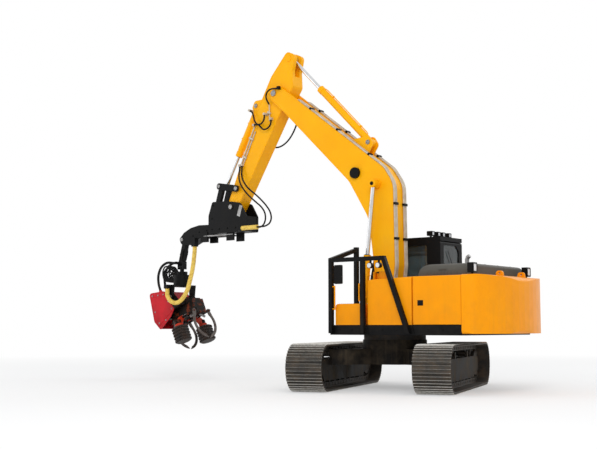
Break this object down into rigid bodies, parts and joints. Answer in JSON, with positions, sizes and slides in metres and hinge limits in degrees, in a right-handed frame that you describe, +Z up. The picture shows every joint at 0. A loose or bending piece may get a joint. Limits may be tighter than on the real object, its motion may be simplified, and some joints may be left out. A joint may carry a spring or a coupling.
{
  "type": "forestry harvester",
  "caption": "Tracked forestry harvester: turning upper with guarded cab, raised two-piece boom and a hanging head with feed rollers, knives and saw.",
  "frame": {"origin": "on the ground under the slewing axis of the upper structure", "axes": "+X ahead in the boom's plane, +Y to the side with the tank (the boom seen from behind has it on its left), +Z up"},
  "size_m": [9.6528, 5.2162, 7.2576],
  "materials": {
    "yellow_paint": "semi-gloss",
    "black_paint": "satin",
    "grey_paint": "satin",
    "track_steel": "worn",
    "steel": "brushed",
    "chrome": "polished",
    "red_paint": "gloss",
    "glass": "clear",
    "hose_rubber": "matte",
    "hose_sleeve": "woven",
    "seat_fabric": "woven"
  },
  "bodies": {
    "undercarriage": {"car_body": "black_paint", "track_frames": "black_paint", "final_drives": "track_steel", "idlers": "track_steel", "rollers": "track_steel", "slew_ring": "track_steel", "track_left": "track_steel", "track_right": "track_steel"},
    "upper": {"platform": "black_paint", "counterweight": "yellow_paint", "tank_block": "yellow_paint", "step_box": "yellow_paint", "bay_frame": "yellow_paint", "engine_block": "black_paint", "cab_shell": "black_paint", "cab_glass": "glass", "cab_seat": "seat_fabric", "cab_guard": "black_paint", "front_guard": "black_paint", "handrails": "yellow_paint", "work_lamps": "black_paint", "mirror": "black_paint"},
    "left_door": {"left_door": "yellow_paint"},
    "right_door": {"right_door": "yellow_paint"},
    "hood": {"engine_hood": "grey_paint"},
    "cab_door": {"cab_door": "black_paint", "door_glass": "glass"},
    "boom": {"boom": "yellow_paint", "boom_pipes": "steel", "boom_fittings": "black_paint", "joint_hoses": "hose_rubber"},
    "boom_barrels": {"boom_barrels": "yellow_paint"},
    "boom_rods": {"boom_rods": "chrome"},
    "arm": {"arm": "yellow_paint", "arm_pipes": "steel", "arm_hoses": "hose_rubber", "beam_hoses": "hose_rubber"},
    "arm_barrel": {"arm_barrel": "yellow_paint"},
    "arm_rod": {"arm_rod": "chrome"},
    "tool_barrel": {"tool_barrel": "yellow_paint"},
    "tool_rod": {"tool_rod": "chrome"},
    "guide_links": {"guide_links": "black_paint"},
    "push_link": {"push_link": "black_paint"},
    "beam": {"beam": "black_paint", "beam_sleeve": "hose_sleeve", "head_sleeve": "hose_sleeve"},
    "hanging_link": {"hanging_link": "black_paint", "rotator_hoses": "hose_rubber"},
    "swivel_cross": {"swivel_cross": "grey_paint"},
    "rotator": {"rotator_hanger": "black_paint"},
    "head": {"head_frame": "black_paint", "head_cover": "red_paint"},
    "feed_arm_near": {"feed_arms_near": "red_paint"},
    "feed_arm_far": {"feed_arms_far": "red_paint"},
    "feed_roller_near": {"feed_roller_near": "track_steel"},
    "feed_roller_far": {"feed_roller_far": "track_steel"},
    "knives_near": {"knives_near": "steel"},
    "knives_far": {"knives_far": "steel"},
    "saw": {"saw_bar": "steel"}
  },
  "joints": [
    {"name": "slew", "type": "hinge", "parent": "undercarriage", "child": "upper", "pos_m": [0, 0, 1], "axis": [0, 0, 1], "continuous": true},
    {"name": "boom_lift", "type": "hinge", "parent": "upper", "child": "boom", "pos_m": [0.1, 0, 1.82], "axis": [0, 1, 0], "range_deg": [0, 80]},
    {"name": "boom_cylinder_swing", "type": "hinge", "parent": "upper", "child": "boom_barrels", "pos_m": [0.55, 0, 1.36], "axis": [0, 1, 0], "range_deg": [0, 73]},
    {"name": "boom_cylinder_stroke", "type": "slide", "parent": "boom_barrels", "child": "boom_rods", "axis": [-0.1086, 0, 0.9941], "range_m": [-0.78, 0]},
    {"name": "arm_swing", "type": "hinge", "parent": "boom", "child": "arm", "pos_m": [3.00142, 0, 6.37431], "axis": [0, -1, 0], "range_deg": [-28, 62], "deforming": ["joint_hoses"]},
    {"name": "arm_cylinder_swing", "type": "hinge", "parent": "boom", "child": "arm_barrel", "pos_m": [0.55005, 0, 5.0204], "axis": [0, -1, 0], "range_deg": [-1, 1]},
    {"name": "arm_cylinder_stroke", "type": "slide", "parent": "arm_barrel", "child": "arm_rod", "axis": [0.7033, 0, 0.7109], "range_m": [-0.83, 0.38]},
    {"name": "beam_curl", "type": "hinge", "parent": "arm", "child": "beam", "pos_m": [4.28438, 0, 3.93063], "axis": [0, 1, 0], "range_deg": [-40, 60], "deforming": ["beam_hoses"]},
    {"name": "guide_link_swing", "type": "hinge", "parent": "arm", "child": "guide_links", "pos_m": [4.10641, 0, 4.33415], "axis": [0, 1, 0], "range_deg": [-35, 53]},
    {"name": "push_link_swing", "type": "hinge", "parent": "guide_links", "child": "push_link", "pos_m": [4.62348, 0, 4.4249], "axis": [0, 1, 0], "range_deg": [-46, 31]},
    {"name": "tool_cylinder_swing", "type": "hinge", "parent": "arm", "child": "tool_barrel", "pos_m": [3.63116, 0, 6.19669], "axis": [0, 1, 0], "range_deg": [-4, 5]},
    {"name": "tool_cylinder_stroke", "type": "slide", "parent": "tool_barrel", "child": "tool_rod", "axis": [0.4887, 0, -0.8725], "range_m": [-0.27, 0.4]},
    {"name": "hang_swing", "type": "hinge", "parent": "beam", "child": "hanging_link", "pos_m": [5.9, 0, 3.27], "axis": [0, -1, 0], "range_deg": [-45, 45], "deforming": ["head_sleeve"]},
    {"name": "cross_swing", "type": "hinge", "parent": "hanging_link", "child": "swivel_cross", "pos_m": [6.04, 0, 2.64], "axis": [1, 0, 0], "range_deg": [-30, 30], "deforming": ["head_sleeve", "rotator_hoses"]},
    {"name": "rotator", "type": "hinge", "parent": "swivel_cross", "child": "rotator", "pos_m": [6.04, 0, 2.45], "axis": [0, 0, 1], "range_deg": [-120, 120], "deforming": ["head_sleeve", "rotator_hoses"]},
    {"name": "head_tilt", "type": "hinge", "parent": "rotator", "child": "head", "pos_m": [6.04, 0, 1.92], "axis": [0, 1, 0], "range_deg": [-24, 66], "deforming": ["rotator_hoses"]},
    {"name": "feed_arms", "type": "hinge", "parent": "head", "child": "feed_arm_near", "pos_m": [5.78939, 0.25, 1.41858], "axis": [0.9135, 0, -0.4067], "range_deg": [-8, 30]},
    {"name": "feed_arm_far", "type": "hinge", "parent": "head", "child": "feed_arm_far", "pos_m": [5.78939, -0.25, 1.41858], "axis": [-0.9135, 0, 0.4067], "range_deg": [-8, 30]},
    {"name": "feed_roller_near", "type": "hinge", "parent": "feed_arm_near", "child": "feed_roller_near", "pos_m": [5.62263, 0.4, 1.04403], "axis": [0.4067, 0, 0.9135], "continuous": true},
    {"name": "feed_roller_far", "type": "hinge", "parent": "feed_arm_far", "child": "feed_roller_far", "pos_m": [5.62263, -0.4, 1.04403], "axis": [0.4067, 0, 0.9135], "continuous": true},
    {"name": "knives", "type": "hinge", "parent": "head", "child": "knives_near", "pos_m": [5.62952, 0.25, 1.48976], "axis": [0.9135, 0, -0.4067], "range_deg": [-8, 40]},
    {"name": "knife_far", "type": "hinge", "parent": "head", "child": "knives_far", "pos_m": [5.62952, -0.25, 1.48976], "axis": [-0.9135, 0, 0.4067], "range_deg": [-8, 40]},
    {"name": "saw_swing", "type": "hinge", "parent": "head", "child": "saw", "pos_m": [6.26356, 0.25, 1.4264], "axis": [0.9135, 0, -0.4067], "range_deg": [0, 90]},
    {"name": "left_door_hinge", "type": "hinge", "parent": "upper", "child": "left_door", "pos_m": [-1.278, 1.315, 1.7], "axis": [0, 0, -1], "range_deg": [0, 90]},
    {"name": "right_door_hinge", "type": "hinge", "parent": "upper", "child": "right_door", "pos_m": [-1.278, -1.315, 1.7], "axis": [0, 0, 1], "range_deg": [0, 90]},
    {"name": "hood_hinge", "type": "hinge", "parent": "upper", "child": "hood", "pos_m": [-1.246, 0, 2.158], "axis": [0, 1, 0], "range_deg": [0, 60]},
    {"name": "cab_door_hinge", "type": "hinge", "parent": "upper", "child": "cab_door", "pos_m": [-0.338, -1.346, 2], "axis": [0, 0, -1], "range_deg": [0, 110]}
  ],
  "couplings": [
    {"joint": "boom_cylinder_swing", "follows": "boom_lift", "ratio": 0.9044},
    {"joint": "boom_cylinder_stroke", "follows": "boom_lift", "m_per_rad": -0.5554},
    {"joint": "arm_cylinder_swing", "follows": "arm_swing", "ratio": 0.0095},
    {"joint": "arm_cylinder_stroke", "follows": "arm_swing", "m_per_rad": -0.7533},
    {"joint": "guide_link_swing", "follows": "beam_curl", "ratio": 0.87},
    {"joint": "push_link_swing", "follows": "beam_curl", "ratio": -0.75},
    {"joint": "tool_cylinder_swing", "follows": "beam_curl", "ratio": 0.07},
    {"joint": "tool_cylinder_stroke", "follows": "beam_curl", "m_per_rad": 0.37},
    {"joint": "feed_arm_far", "follows": "feed_arms", "ratio": 1},
    {"joint": "knife_far", "follows": "knives", "ratio": 1}
  ]
}
